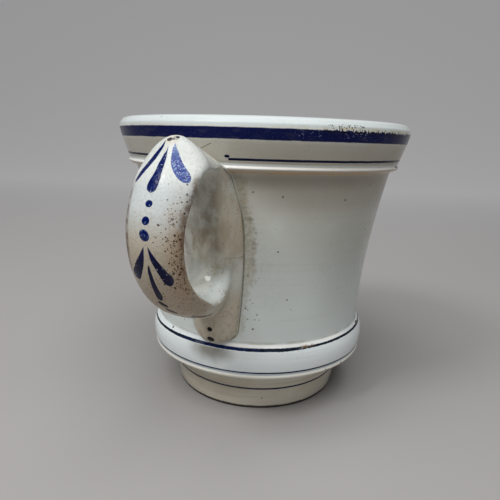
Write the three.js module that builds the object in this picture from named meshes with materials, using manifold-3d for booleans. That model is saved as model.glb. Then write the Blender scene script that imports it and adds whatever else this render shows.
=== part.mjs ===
// A footed coffee cup in glazed earthenware with a moulded loop handle, in millimetres, +Z up.
//
// It is modelled as it is potted. The cup is thrown and turned: a flaring barrel with a moulded belt at its
// base, and a bead and a collar at its rim. A foot ring is stuck under its floor. The handle is one pressed
// piece, a closed loop on a leaf-shaped back plate that runs down into a tail. Two thin layers of slip, the
// potter's glue, hold the foot ring and the handle. Nothing on it moves.
//
// The standing plane is z = 0, the handle points along +X, and the origin is below the middle of the whole
// cup, handle included, so the cup's own axis stands a little to the left of it.
import * as THREE from "three";
import { mergeVertices } from "three/addons/utils/BufferGeometryUtils.js";
import Module from "manifold-3d";

// Heights of the turned mouldings, from the standing plane up
const footHeight = 16.0;
const beltHeight = 13.2;
const barrelHeight = 59.0;
const beadHeight = 3.2;
const collarHeight = 13.6;

// Radii of the turned outside
const footRadius = 34.2;
const footEdgeRadius = 33.0;
const beltRadius = 43.5;
const beltEdgeRadius = 42.4;
const beltTopRadius = 42.1;
const barrelBaseRadius = 41.1;
const barrelTopRadius = 49.0;
const beadRadius = 51.9;
const collarBaseRadius = 51.8;
const rimRadius = 55.0;

// Thicknesses of the clay
const floorThickness = 6.0;
const wallThickness = 4.6;
const footRingWidth = 6.4;
const footEdgeRounding = 0.7;
const lipThickness = 6.2;
const lipRise = 3.6;
const floorCornerRadius = 12.0;

// Slip joints: the layer of slip, and the clearance that keeps each face off the next
const slipThickness = 0.6;
const jointGap = 0.3;

// The handle's loop: how far it stands off the barrel, and where its peak and its lower arm are
const handleDepth = 36.6;
const peakAboveCollarBase = 7.5;
const lowerArmAboveBelt = 12.0;
const strapHalfWidth = 8.6;
const strapCrown = 4.6;
const strapBack = 4.2;
const peakCrown = 8.7;

// The handle's back plate, which runs up onto the collar and down into a tail
const plateThickness = 4.4;
const plateEdgeThickness = 2.1;
const plateHalfWidth = 11.0;
const plateTopAboveCollarBase = 3.6;
const tailThickness = 4.0;
const tailHalfWidth = 9.0;
const tailEndRounding = 6.5;

// Facets: around the cup, along and across the handle, and along a turned curve
const cupSegments = 64;
const loopSteps = 72;
const sectionSteps = 11;
const curveSteps = 5;

// Levels worked out from the stacked heights
const beltBottom = footHeight;
const beltTop = beltBottom + beltHeight;
const barrelTop = beltTop + barrelHeight;
const collarBottom = barrelTop + beadHeight;
const rimTop = collarBottom + collarHeight;
const floorTop = footHeight + floorThickness;
const jointDepth = 2 * jointGap + slipThickness;
const peakLevel = collarBottom + peakAboveCollarBase;
const lowerArmLevel = beltTop + lowerArmAboveBelt;
const plateTop = collarBottom + plateTopAboveCollarBase;
const plateBottom = beltTop - 0.4;

// The handle's solids run this far under the barrel's surface, and are cut back to it
const plateBuried = 3.0;

// A point of a turned profile: distance from the axis, and height.
const at = (radius, height) => new THREE.Vector2(radius, height);

// Points along a quarter of an ellipse from one profile point to the next. The curve leaves the first point
// upright when uprightFirst is true, and level otherwise.
function quarter(from, to, uprightFirst, steps = curveSteps) {
  const points = [];
  for (let i = 0; i <= steps; i++) {
    const turn = (Math.PI / 2) * (i / steps);
    const level = uprightFirst ? 1 - Math.cos(turn) : Math.sin(turn);
    const rise = uprightFirst ? Math.sin(turn) : 1 - Math.cos(turn);
    points.push(at(from.x + (to.x - from.x) * level, from.y + (to.y - from.y) * rise));
  }
  return points;
}

// The barrel's outside: nearly upright above the belt, and opening faster and faster towards the bead.
const barrelFlare = 1.75;
function barrelRadius(height) {
  const share = THREE.MathUtils.clamp((height - beltTop) / barrelHeight, 0, 1);
  return barrelBaseRadius + (barrelTopRadius - barrelBaseRadius) * share ** barrelFlare;
}

// The turned outside of the cup from the belt's underside to the rim, without the lip.
function outsideProfile() {
  const undercutRise = 1.4;
  const beltEdgeRise = 1.9;
  const beltLineHeight = beltBottom + 3.9;
  const ledgeRise = 1.0;
  const beadLevel = barrelTop + 0.6 * beadHeight;
  const points = [
    at(footRadius, beltBottom),
    at(beltEdgeRadius - 0.5, beltBottom + undercutRise),
    at(beltEdgeRadius, beltBottom + beltEdgeRise),
    at(beltEdgeRadius + 0.1, beltLineHeight - 0.8),
    ...quarter(at(beltEdgeRadius + 0.3, beltLineHeight), at(beltRadius, beltBottom + 0.55 * beltHeight), false, 4),
    ...quarter(at(beltRadius, beltBottom + 0.6 * beltHeight), at(beltTopRadius, beltTop - ledgeRise), true, 5),
    at(barrelBaseRadius + 0.3, beltTop),
  ];
  const barrelSteps = 9;
  for (let i = 1; i <= barrelSteps; i++) {
    const height = beltTop + (barrelHeight * i) / barrelSteps;
    points.push(at(barrelRadius(height), height));
  }
  points.push(
    ...quarter(at(barrelTopRadius + 0.8, barrelTop + 0.2), at(beadRadius, beadLevel), false, 4),
    at(collarBaseRadius - 0.4, collarBottom - 0.2),
    at(collarBaseRadius, collarBottom + 0.4),
    at(rimRadius, rimTop - lipRise),
  );
  return points;
}

// The radius of the turned outside at a height, read off its profile.
function outsideRadius(height) {
  const points = outsideProfile();
  const above = points.findIndex((p) => p.y > height);
  if (above < 1) return above < 0 ? rimRadius : footRadius;
  const low = points[above - 1];
  const high = points[above];
  return THREE.MathUtils.mapLinear(height, low.y, high.y, low.x, high.x);
}

// The rounded lip, from the rim's outside over the top to the inside.
function lipProfile() {
  const lipMiddle = rimRadius - lipThickness / 2;
  const points = [];
  const steps = 2 * curveSteps - 2;
  for (let i = 1; i < steps; i++) {
    const turn = (Math.PI * i) / steps;
    points.push(at(lipMiddle + (lipThickness / 2) * Math.cos(turn), rimTop - lipRise * (1 - Math.sin(turn))));
  }
  return points;
}

// The inside, from the lip down the wall and round the corner to the middle of the floor.
function insideProfile() {
  const points = [at(rimRadius - lipThickness, rimTop - lipRise)];
  const cornerRadius = barrelBaseRadius - wallThickness;
  const cornerTop = floorTop + floorCornerRadius;
  const steps = 8;
  for (let i = 0; i <= steps; i++) {
    const height = barrelTop + ((cornerTop - barrelTop) * i) / steps;
    points.push(at(barrelRadius(height) - wallThickness, height));
  }
  const corner = quarter(at(cornerRadius, cornerTop), at(cornerRadius - floorCornerRadius, floorTop), true);
  points.push(...corner.slice(1), at(0, floorTop));
  return points;
}

// The foot ring: a turned ring, a little narrower where it stands.
function footProfile() {
  const top = footHeight - jointDepth;
  const edge = footEdgeRounding;
  const inner = footRadius - footRingWidth;
  return [
    at(inner + edge, 0),
    at(footEdgeRadius - edge, 0),
    ...quarter(at(footEdgeRadius - edge / 4, edge / 3), at(footRadius, 0.55 * top), false, 5),
    at(footRadius, top),
    at(inner, top),
    at(inner, edge),
    at(inner + edge, 0),
  ];
}

// A mesh turned about the cup's axis.
const turned = (profile) => new THREE.LatheGeometry(profile, cupSegments);

// The kernel that cuts and joins solids.
const wasm = await Module();
wasm.setup();

// A geometry as a solid. Only positions are kept, so that shared corners merge.
function solidOf(geometry) {
  const bare = geometry.clone();
  bare.deleteAttribute("normal");
  bare.deleteAttribute("uv");
  const merged = mergeVertices(bare, 1e-4);
  return new wasm.Manifold(
    new wasm.Mesh({
      numProp: 3,
      vertProperties: merged.attributes.position.array,
      triVerts: new Uint32Array(merged.index.array),
    }),
  );
}

// A solid as a geometry again.
function geometryOf(solid) {
  const mesh = solid.getMesh();
  const geometry = new THREE.BufferGeometry();
  geometry.setAttribute("position", new THREE.BufferAttribute(mesh.vertProperties, 3));
  geometry.setIndex(new THREE.BufferAttribute(mesh.triVerts, 1));
  geometry.computeVertexNormals();
  return geometry;
}

// Turned profiles are drawn in the XY plane, and the lathe turns them about Y. This stands them up on +Z.
const upright = (geometry) => geometry.rotateX(Math.PI / 2);

// The body of the cup.
const cupBody = upright(turned([at(0, footHeight), ...outsideProfile(), ...lipProfile(), ...insideProfile()]));

// The cup's outside as a full solid, grown sideways: what the handle's back and its slip are cut by.
function cupGrownBy(growth) {
  const grown = outsideProfile().map((p) => at(p.x + growth, p.y));
  return solidOf(upright(turned([at(0, footHeight), ...grown, at(0, rimTop - lipRise)])));
}

// Slip between the foot ring and the floor.
const footSlip = upright(
  turned([
    at(footRadius - footRingWidth, footHeight - jointGap - slipThickness),
    at(footRadius - jointGap, footHeight - jointGap - slipThickness),
    at(footRadius - jointGap, footHeight - jointGap),
    at(footRadius - footRingWidth, footHeight - jointGap),
    at(footRadius - footRingWidth, footHeight - jointGap - slipThickness),
  ]),
);

// The loop of the handle, as stations round the finger hole: over the peak, down the strap, back along the
// lower arm and up the back plate. A station is a point of the sharp edge where the outer face meets the
// hole's wall. It is given by its distance off the barrel, as a share of the handle's depth, and its height,
// as a share of the way from the lower arm to the peak. Its section has half its width, the crown of its outer
// face, the crown of the hole's wall, and a power that is near 1 for a ridged roof and 2 or more for an arch.
function loopStations() {
  const station = (out, up, halfWidth, crown, back, arch = 2.2) => {
    const height = lowerArmLevel + (peakLevel - lowerArmLevel) * up;
    return { edge: [barrelRadius(height) + out * handleDepth, height], halfWidth, crown, back, arch };
  };
  const onPlate = (up, halfWidth) => {
    const out = plateEdgeThickness / handleDepth;
    return station(out, up, halfWidth, plateEdgeThickness + plateBuried, plateThickness - plateEdgeThickness);
  };
  const wide = strapHalfWidth;
  return [
    station(0.287, 0.846, wide - 0.4, 0.76 * peakCrown, 0.5 * strapBack, 1.25),
    station(0.396, 0.853, wide - 0.1, 0.84 * peakCrown, 0.5 * strapBack, 1.25),
    station(0.486, 0.853, wide + 0.9, peakCrown, 0.6 * strapBack, 1.35),
    station(0.596, 0.827, wide + 1.0, 0.85 * strapCrown, 0.8 * strapBack, 1.9),
    station(0.686, 0.759, wide + 0.9, 1.06 * strapCrown, 0.95 * strapBack),
    station(0.817, 0.631, wide + 0.4, strapCrown, strapBack),
    station(0.872, 0.517, wide, strapCrown, strapBack),
    station(0.855, 0.383, wide - 0.2, 1.02 * strapCrown, 0.9 * strapBack),
    station(0.74, 0.263, wide - 0.5, 1.15 * strapCrown, 0.8 * strapBack),
    station(0.549, 0.177, wide - 0.9, 1.15 * strapCrown, 0.6 * strapBack),
    station(0.339, 0.116, wide - 1.4, 1.05 * strapCrown, 0.8 * strapBack),
    station(0.189, 0.133, wide - 1.3, plateBuried + 0.17 * handleDepth, strapBack),
    onPlate(0.274, wide - 0.3),
    onPlate(0.43, wide + 0.4),
    onPlate(0.603, wide + 0.6),
    onPlate(0.75, wide - 0.2),
    station(0.098, 0.849, wide - 1.4, plateBuried, strapBack, 1.5),
  ];
}

// The value at each of the loop's steps, smooth from station to station.
function around(values, steps) {
  const curve = new THREE.CatmullRomCurve3(values, true, "centripetal");
  return Array.from({ length: steps }, (_, i) => curve.getPoint(i / steps));
}

// The closed loop as a solid: one ring of points across the handle for each step round the hole.
function handleLoop() {
  const stations = loopStations();
  const edges = around(stations.map((s) => new THREE.Vector3(...s.edge, s.halfWidth)), loopSteps);
  const crowns = around(stations.map((s) => new THREE.Vector3(s.crown, s.back, s.arch)), loopSteps);
  const holeArch = 2.2;
  const rounding = 0.66;
  const across = 2 * sectionSteps;
  const positions = [];
  for (let i = 0; i < loopSteps; i++) {
    const edge = edges[i];
    const before = edges[(i + loopSteps - 1) % loopSteps];
    const after = edges[(i + 1) % loopSteps];
    const outward = new THREE.Vector2(before.y - after.y, after.x - before.x).normalize();
    for (let j = 0; j < across; j++) {
      const share = Math.cos((Math.PI * j) / sectionSteps);
      const outerFace = j < sectionSteps;
      const crown = outerFace ? crowns[i].x : -crowns[i].y;
      const arch = outerFace ? crowns[i].z : holeArch;
      const rise = crown * (1 - Math.abs(share) ** arch) ** rounding;
      positions.push(edge.x + rise * outward.x, edge.z * share, edge.y + rise * outward.y);
    }
  }
  const faces = [];
  for (let i = 0; i < loopSteps; i++) {
    for (let j = 0; j < across; j++) {
      const a = i * across + j;
      const b = i * across + ((j + 1) % across);
      const c = ((i + 1) % loopSteps) * across + ((j + 1) % across);
      const d = ((i + 1) % loopSteps) * across + j;
      faces.push(a, b, d, b, c, d);
    }
  }
  const geometry = new THREE.BufferGeometry();
  geometry.setAttribute("position", new THREE.Float32BufferAttribute(positions, 3));
  geometry.setIndex(faces);
  return solidOf(geometry);
}

// Half the width of the back plate and its tail at a height, measured round the barrel: a leaf with its
// point at the top, widest by the finger hole, and a round tail standing on the belt.
function plateHalfWidthAt(height) {
  const shoulder = barrelTop + 1.5;
  const widest = beltTop + 0.66 * barrelHeight;
  const shoulderHalfWidth = 0.69 * plateHalfWidth;
  if (height >= shoulder) return (shoulderHalfWidth * (plateTop - height)) / (plateTop - shoulder);
  if (height >= widest) {
    const share = (height - widest) / (shoulder - widest);
    return plateHalfWidth - (plateHalfWidth - shoulderHalfWidth) * share ** 2.2;
  }
  const share = Math.min(1, (widest - height) / (widest - plateBottom - tailEndRounding));
  const straight = plateHalfWidth - (plateHalfWidth - tailHalfWidth) * share ** 1.5;
  return straight * roundedEnd(height);
}

// From 0 at the tail's end to 1 above its rounding, along a quarter circle.
function roundedEnd(height) {
  const left = Math.min(1, (height - plateBottom) / tailEndRounding);
  return Math.sqrt(1 - (1 - left) ** 2);
}

// The back plate and tail: a cushioned strip on the barrel from the tail's end to the leaf's point.
function backPlate() {
  const rows = 40;
  const columns = 16;
  const sliver = 0.02;
  const underWall = 0.5;
  const tailShare = 0.25;
  const positions = [];
  const facePoint = (height, share, out) => {
    const base = outsideRadius(height);
    const angle = (plateHalfWidthAt(height) * share) / base;
    return [(base + out) * Math.cos(angle), (base + out) * Math.sin(angle), height];
  };
  for (let i = 0; i <= rows; i++) {
    // rows crowd towards both ends, where the outline turns fast
    const along = 0.5 - 0.5 * Math.cos((Math.PI * i) / rows);
    const height = THREE.MathUtils.lerp(plateBottom + sliver, plateTop - sliver, along);
    const onTail = height < beltTop + tailShare * barrelHeight;
    const thick = (onTail ? tailThickness : plateEdgeThickness + 1.1) * roundedEnd(height) ** 0.7;
    for (let j = 0; j <= columns; j++) {
      const share = -Math.cos((Math.PI * j) / columns);
      const crown = (1 - Math.abs(share) ** 3) ** 0.8;
      positions.push(...facePoint(height, share, (thick + underWall) * crown - underWall));
    }
    positions.push(...facePoint(height, 1, -plateBuried), ...facePoint(height, -1, -plateBuried));
  }
  const ring = columns + 3;
  const faces = [];
  for (let i = 0; i < rows; i++) {
    for (let j = 0; j < ring; j++) {
      const a = i * ring + j;
      const b = i * ring + ((j + 1) % ring);
      faces.push(a, b, a + ring, b, b + ring, a + ring);
    }
  }
  for (let j = 1; j < ring - 1; j++) {
    faces.push(0, j + 1, j);
    faces.push(rows * ring, rows * ring + j, rows * ring + j + 1);
  }
  const geometry = new THREE.BufferGeometry();
  geometry.setAttribute("position", new THREE.Float32BufferAttribute(positions, 3));
  geometry.setIndex(faces);
  return solidOf(geometry);
}

const plate = backPlate();
const handle = plate.add(handleLoop()).subtract(cupGrownBy(jointDepth));
const handleSlip = plate.intersect(cupGrownBy(jointGap + slipThickness)).subtract(cupGrownBy(jointGap));

// Colours as fired: a warm off-white glaze, and the greyer slip in the joints.
const glaze = () => new THREE.MeshStandardMaterial({ color: 0xd9d3c4, roughness: 0.25, metalness: 0 });
const slip = () => new THREE.MeshStandardMaterial({ color: 0xa89c86, roughness: 0.6, metalness: 0 });

function named(name, geometry, material) {
  const mesh = new THREE.Mesh(geometry, material);
  mesh.name = name;
  return mesh;
}

const handleGeometry = geometryOf(handle);
handleGeometry.computeBoundingBox();
const handleReach = handleGeometry.boundingBox.max.x;

const cup = new THREE.Group();
cup.add(
  named("cup_body", cupBody, glaze()),
  named("foot_ring", upright(turned(footProfile())), glaze()),
  named("foot_slip", footSlip, slip()),
  named("handle", handleGeometry, glaze()),
  named("handle_slip", geometryOf(handleSlip), slip()),
);
cup.position.x = -(handleReach - rimRadius) / 2;

export default new THREE.Group().add(cup);
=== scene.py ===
import math
from functools import partialmethod

import bpy
import numpy as np
from mathutils import Matrix, Vector


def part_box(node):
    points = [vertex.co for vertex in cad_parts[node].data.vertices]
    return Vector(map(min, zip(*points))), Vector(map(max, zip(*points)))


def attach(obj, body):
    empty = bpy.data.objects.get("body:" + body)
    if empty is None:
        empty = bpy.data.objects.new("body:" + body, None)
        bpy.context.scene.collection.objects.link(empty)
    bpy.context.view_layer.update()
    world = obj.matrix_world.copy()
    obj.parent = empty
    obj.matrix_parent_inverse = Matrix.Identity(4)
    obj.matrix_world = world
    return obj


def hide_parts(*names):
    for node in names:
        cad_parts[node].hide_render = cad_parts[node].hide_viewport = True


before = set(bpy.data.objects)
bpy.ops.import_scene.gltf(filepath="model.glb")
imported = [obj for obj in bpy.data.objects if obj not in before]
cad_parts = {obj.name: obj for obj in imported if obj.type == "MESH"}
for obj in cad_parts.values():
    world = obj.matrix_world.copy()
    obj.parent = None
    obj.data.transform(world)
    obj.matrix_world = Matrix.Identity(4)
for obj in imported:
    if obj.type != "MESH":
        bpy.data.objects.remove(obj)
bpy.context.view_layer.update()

MM = 0.001

# The studio. The cup stands on a pale sweep of paper that curves up behind it, under a wide soft lamp
# overhead. A small lamp to one side gives the sharp highlights, and a faint low one lightens the shadows
# in front. The camera stands close by, a little lower than the rim.
cup_low, cup_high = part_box("cup_body")
AXIS_X = (cup_low.x + cup_high.x) / 2

camera_bearing = 20.7        # degrees from the handle's own direction, seen from above
camera_distance = 189.1 * MM  # from the cup's axis
camera_height = 98.0 * MM
camera_heading = 111.94      # degrees
camera_tilt = 13.29          # degrees down
camera_roll = 1.85           # degrees
camera_angle = 56.617        # degrees, the same both ways


def around_cup(bearing, distance, height):
    """A point beside the cup, by its bearing from the handle in degrees, its distance and its height."""
    turn = math.radians(bearing)
    return Vector((AXIS_X + distance * math.cos(turn), distance * math.sin(turn), height))


def turned_by(degrees, axis):
    return Matrix.Rotation(math.radians(degrees), 4, axis)


camera_data = bpy.data.cameras.new("camera")
camera_data.sensor_fit = "AUTO"
camera_data.angle = math.radians(camera_angle)
camera_data.clip_start = 10 * MM
camera = bpy.data.objects.new("camera", camera_data)
bpy.context.scene.collection.objects.link(camera)
camera.matrix_world = (
    Matrix.Translation(around_cup(camera_bearing, camera_distance, camera_height))
    @ turned_by(camera_heading, "Z")
    @ turned_by(90 - camera_tilt, "X")
    @ turned_by(camera_roll, "Z")
)
bpy.context.scene.camera = camera
bpy.context.scene.view_settings.view_transform = "Standard"


LAMP_AIM = 60 * MM  # the height on the cup's axis that every lamp faces


def soft_lamp(name, bearing, distance, height, size, power):
    """A square lamp that faces the cup."""
    data = bpy.data.lights.new(name, "AREA")
    data.size = size
    data.energy = power
    lamp = bpy.data.objects.new(name, data)
    bpy.context.scene.collection.objects.link(lamp)
    lamp.location = around_cup(bearing, distance, height)
    aim = Vector((AXIS_X, 0, LAMP_AIM)) - lamp.location
    lamp.rotation_euler = aim.to_track_quat("-Z", "Y").to_euler()


soft_lamp("overhead_lamp", camera_bearing - 3, 0.27, 0.74, size=0.72, power=5.5)
soft_lamp("small_lamp", camera_bearing - 49, 0.46, 0.56, size=0.17, power=1.6)
soft_lamp("low_lamp", camera_bearing + 10, 0.7, 0.14, size=0.5, power=0.3)

world = bpy.data.worlds.new("world")
world.use_nodes = True
room_light = world.node_tree.nodes["Background"].inputs
room_light["Color"].default_value = (0.86, 0.93, 1.0, 1)
room_light["Strength"].default_value = 0.06
bpy.context.scene.world = world


def shown_mesh(name, mesh):
    mesh.polygons.foreach_set("use_smooth", [True] * len(mesh.polygons))
    made = bpy.data.objects.new(name, mesh)
    bpy.context.scene.collection.objects.link(made)
    return made


def mesh_object(name, points, faces):
    """A smooth-shaded object from points in metres."""
    mesh = bpy.data.meshes.new(name)
    mesh.from_pydata([tuple(p) for p in points], [], [tuple(f) for f in faces])
    mesh.validate()
    return shown_mesh(name, mesh)


away = around_cup(camera_bearing + 180, 1.0, 0) - around_cup(camera_bearing, 0, 0)


def paper_sweep():
    """The floor and backdrop: one sheet, level under the cup and curved up behind it."""
    half_width = 3.0
    front, back = -2.0, 0.6
    bend = 1.3
    line = [(front, 0.0), (back, 0.0)]
    line += [(back + bend * math.sin(a), bend * (1 - math.cos(a))) for a in np.radians(range(6, 91, 6))]
    line += [(back + bend, 3.0)]
    across = Vector((-away.y, away.x, 0))
    points = []
    for run, rise in line:
        for side in (-half_width, half_width):
            points.append(away * run + across * side + Vector((0, 0, rise)))
    faces = [(2 * i, 2 * i + 1, 2 * i + 3, 2 * i + 2) for i in range(len(line) - 1)]
    return mesh_object("paper_sweep", points, faces)


def wired_node(tree, kind, inputs, **settings):
    """A node with its settings made, and its inputs set, or linked where a socket is given."""
    node = tree.nodes.new("ShaderNode" + kind)
    for name, value in settings.items():
        setattr(node, name, value)
    for name, value in inputs.items():
        if isinstance(value, bpy.types.NodeSocket):
            tree.links.new(value, node.inputs[name])
        else:
            node.inputs[name].default_value = value
    return node


def pale_paper():
    """Matt paper. Where it is seen directly or mirrored, it is paler the further it lies behind the cup."""
    paper = bpy.data.materials.new("pale_paper")
    paper.use_nodes = True
    tree = paper.node_tree
    matt = tree.nodes["Principled BSDF"]
    matt.inputs["Roughness"].default_value = 0.9
    matt.inputs["Specular IOR Level"].default_value = 0.1
    matt.inputs["Base Color"].default_value = (0.385, 0.372, 0.362, 1)
    place = wired_node(tree, "TexCoord", {}).outputs["Object"]
    behind = wired_node(tree, "VectorMath", {0: place, 1: away}, operation="DOT_PRODUCT").outputs["Value"]
    paleness = wired_node(tree, "MapRange", {"Value": behind, "From Min": 0.0, "From Max": 0.75}).outputs[0]
    glow = wired_node(tree, "Emission", {"Color": (0.265, 0.262, 0.268, 1), "Strength": paleness})
    paler = wired_node(tree, "AddShader", {0: matt.outputs[0], 1: glow.outputs[0]})
    ray = wired_node(tree, "LightPath", {}).outputs
    seen = ray["Is Camera Ray"]
    for mirrored in (ray["Is Glossy Ray"], ray["Is Transmission Ray"]):
        seen = wired_node(tree, "Math", {0: seen, 1: mirrored}, operation="MAXIMUM").outputs[0]
    shown = wired_node(tree, "MixShader", {0: seen, 1: matt.outputs[0], 2: paler.outputs[0]})
    tree.links.new(shown.outputs[0], tree.nodes["Material Output"].inputs["Surface"])
    return paper


sweep = paper_sweep()
sweep.data.materials.append(pale_paper())


# The cup body. One piece of clay, thrown and turned: a flaring barrel with a belt at its base, a bead and
# a collar at its rim, and a rounded lip. It is dipped in an off-white glaze over cobalt lines drawn on the
# wheel, and the glaze has crazed, pitted and stained with use.
FOOT_TOP = 16.0
BASE_RADIUS = 41.1   # the barrel's, above the belt
TOP_RADIUS = 49.0    # and below the bead
BARREL_BASE = 30.2
BARREL_TOP = 88.0
BARREL_FLARE = 1.75
BARREL_LOW = 29.2    # where the flare starts
BARREL_RUN = 59.0    # and how far up it goes on
WALL = 4.6
FLOOR_TOP = 22.0


def barrel_radius(height):
    """The barrel's outside, in millimetres: nearly upright at the belt, opening towards the bead."""
    share = np.clip((height - BARREL_LOW) / BARREL_RUN, 0, 1)
    return BASE_RADIUS + (TOP_RADIUS - BASE_RADIUS) * share**BARREL_FLARE


def rounded(corners, arc_steps=5):
    """A profile through corners given as (radius, height, rounding), with each corner rounded by an arc."""
    points = [np.array(corners[0][:2], float)]
    for before, corner, after in zip(corners, corners[1:], corners[2:]):
        here = np.array(corner[:2], float)
        to_before = np.array(before[:2]) - here
        to_after = np.array(after[:2]) - here
        reach_before, reach_after = np.linalg.norm(to_before), np.linalg.norm(to_after)
        to_before, to_after = to_before / reach_before, to_after / reach_after
        half_angle = 0.5 * math.acos(np.clip(to_before @ to_after, -1, 1))
        if corner[2] == 0 or half_angle > math.radians(89):
            points.append(here)
            continue
        cut = min(corner[2] / math.tan(half_angle), 0.48 * reach_before, 0.48 * reach_after)
        start, end = here + to_before * cut, here + to_after * cut
        for i in range(arc_steps + 1):
            t = i / arc_steps
            points.append((1 - t) ** 2 * start + 2 * t * (1 - t) * here + t**2 * end)
    points.append(np.array(corners[-1][:2], float))
    return points


def spaced(points, longest):
    """The same profile with its long stretches divided."""
    out = [points[0]]
    for a, b in zip(points, points[1:]):
        pieces = max(1, math.ceil(np.linalg.norm(b - a) / longest))
        out += [a + (b - a) * (i + 1) / pieces for i in range(pieces)]
    return out


def barrel_points(low, high, inset=0.0):
    return [(barrel_radius(z) - inset, z, 0) for z in np.linspace(low, high, 36)]


# Each row is a radius, a height and the rounding of the corner there.
outside = [
    (0, FOOT_TOP, 0), (33.0, FOOT_TOP, 0),
    # the belt: two lips with a groove between them, and a soft bulge up to the ledge
    (41.4, 16.7, 0.4), (42.5, 17.45, 0.5), (42.95, 18.15, 0.4), (42.62, 18.95, 0.3), (42.98, 19.7, 0.4),
    (43.25, 21.2, 0), (43.42, 22.6, 0), (43.45, 24.2, 0), (43.3, 25.7, 0), (42.95, 27.0, 0),
    (42.35, 28.2, 0), (41.95, 28.75, 0.3), (41.3, 29.6, 0.8),
    *barrel_points(BARREL_BASE, BARREL_TOP - 0.8),
    # the bead, the groove above it and the collar
    (49.2, 88.35, 0.4), (50.5, 88.7, 0.5), (51.6, 89.3, 0.5), (51.95, 89.95, 0.3), (51.5, 90.65, 0.4),
    (51.7, 91.5, 0.5), (52.05, 92.3, 0.6), (54.1, 98.2, 0),
    # the lip, rounded over to the inside
    (54.95, 101.4, 1.4), (54.75, 102.9, 1.6), (53.6, 104.5, 1.6), (51.9, 105.0, 1.2), (50.2, 104.4, 1.6),
    (49.0, 102.4, 2.0), (48.2, 99.0, 4.0),
]
corner_top = FLOOR_TOP + 25.5
inside = [
    *reversed(barrel_points(corner_top, BARREL_TOP + 2, inset=WALL)),
    (BASE_RADIUS - WALL, FLOOR_TOP, 12.0),
    (0, FLOOR_TOP, 0),
]


def ring_faces(rings, columns, closed=True):
    """Faces between rings of points. In a closed form the last ring is joined to the first."""
    faces = []
    for i in range(rings if closed else rings - 1):
        k = (i + 1) % rings
        for j in range(columns):
            n = (j + 1) % columns
            faces.append((i * columns + j, i * columns + n, k * columns + n, k * columns + j))
    return faces


def turned_piece(name, profile, segments, wobble=0.0, centre_caps=True):
    """A piece turned on the wheel about the cup's axis, with a map that unrolls it for its finish.

    The wobble is how far, in millimetres, the wheel throws it out of round.
    """
    profile = np.array(profile) * MM
    lengths = np.concatenate([[0], np.cumsum(np.linalg.norm(np.diff(profile, axis=0), axis=1))])
    share = lengths / lengths[-1]
    turn = np.linspace(0, 2 * math.pi, segments, endpoint=False)
    full_wobble_radius = 30 * MM  # nearer the axis it fades
    rings = []
    for radius, height in profile:
        # two waves round the piece and three weaker ones, which shift as they climb
        sway = np.sin(2 * turn + 1.1 + 9 * height) + 0.45 * np.sin(3 * turn + 40 * height)
        out = radius + wobble * MM * sway * min(1, radius / full_wobble_radius)
        level = np.full(segments, height)
        rings.append(np.stack([AXIS_X + out * np.cos(turn), out * np.sin(turn), level], 1))
    first, last = (1, len(rings) - 1) if centre_caps else (0, len(rings))
    shares = share[first:last]
    v = [*shares, share[-1]]
    count = last - first
    points = [p for ring in rings[first:last] for p in ring]
    faces = ring_faces(count, segments, closed=not centre_caps)
    uvs = []
    for i in range(len(faces) // segments):
        for j in range(segments):
            left, right = j / segments, (j + 1) / segments
            uvs += [(left, v[i]), (right, v[i]), (right, v[i + 1]), (left, v[i + 1])]
    # the caps: each end closes on a point on the axis, and the last one faces the other way
    for end, order in ((0, 1), (-1, -1)) if centre_caps else ():
        centre = len(points)
        points.append((AXIS_X, 0.0, rings[end][0][2]))
        start = (end % count) * segments
        for j in range(segments):
            faces.append((start + j, centre, start + (j + 1) % segments)[::order])
            left, middle, right = j / segments, (j + 0.5) / segments, (j + 1) / segments
            uvs += [(left, shares[end]), (middle, share[end]), (right, shares[end])][::order]
    made = mesh_object(name, points, faces)
    made.data.uv_layers.new(name="OFBake").data.foreach_set("uv", np.array(uvs).ravel())
    return made


cup_profile = spaced(rounded(outside), 1.2) + spaced(rounded(inside), 2.0)
cup = turned_piece("cup_body_glazed", cup_profile, segments=300, wobble=0.05)
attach(cup, "root")
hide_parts("cup_body")


def ink(red, green, blue):
    """A shader's colour from everyday values of 0 to 255."""
    parts = [value / 255 for value in (red, green, blue)]
    return (*(p / 12.92 if p <= 0.04045 else ((p + 0.055) / 1.055) ** 2.4 for p in parts), 1.0)


class Field:
    """A number at every point of a surface, worked out by the nodes of its material."""

    def __init__(self, socket):
        self.socket = socket

    def node(self, kind, inputs, **settings):
        return Field(wired_node(self.socket.id_data, kind, inputs, **settings).outputs[0])

    def apply(self, operation, *others):
        parts = [part.socket if isinstance(part, Field) else part for part in (self, *others)]
        return self.node("Math", dict(enumerate(parts)), operation=operation)

    __add__ = partialmethod(apply, "ADD")
    __sub__ = partialmethod(apply, "SUBTRACT")
    __mul__ = partialmethod(apply, "MULTIPLY")
    __truediv__ = partialmethod(apply, "DIVIDE")
    size = partialmethod(apply, "ABSOLUTE")
    least = partialmethod(apply, "MINIMUM")
    most = partialmethod(apply, "MAXIMUM")

    def rising(self, start, end):
        """0 below the start and 1 above the end, eased between."""
        inputs = {"Value": self.socket, "From Min": start, "From Max": end}
        return self.node("MapRange", inputs, interpolation_type="SMOOTHSTEP")

    def falling(self, start, end):
        return self.rising(start, end) * -1 + 1

    def within(self, low, high, soft):
        """1 between low and high, with soft edges."""
        return self.rising(low - soft, low + soft) * self.falling(high - soft, high + soft)


def hypotenuse(a, b):
    """The straight distance, from how far it is each way."""
    return (a * a + b * b).apply("SQRT")


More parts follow.
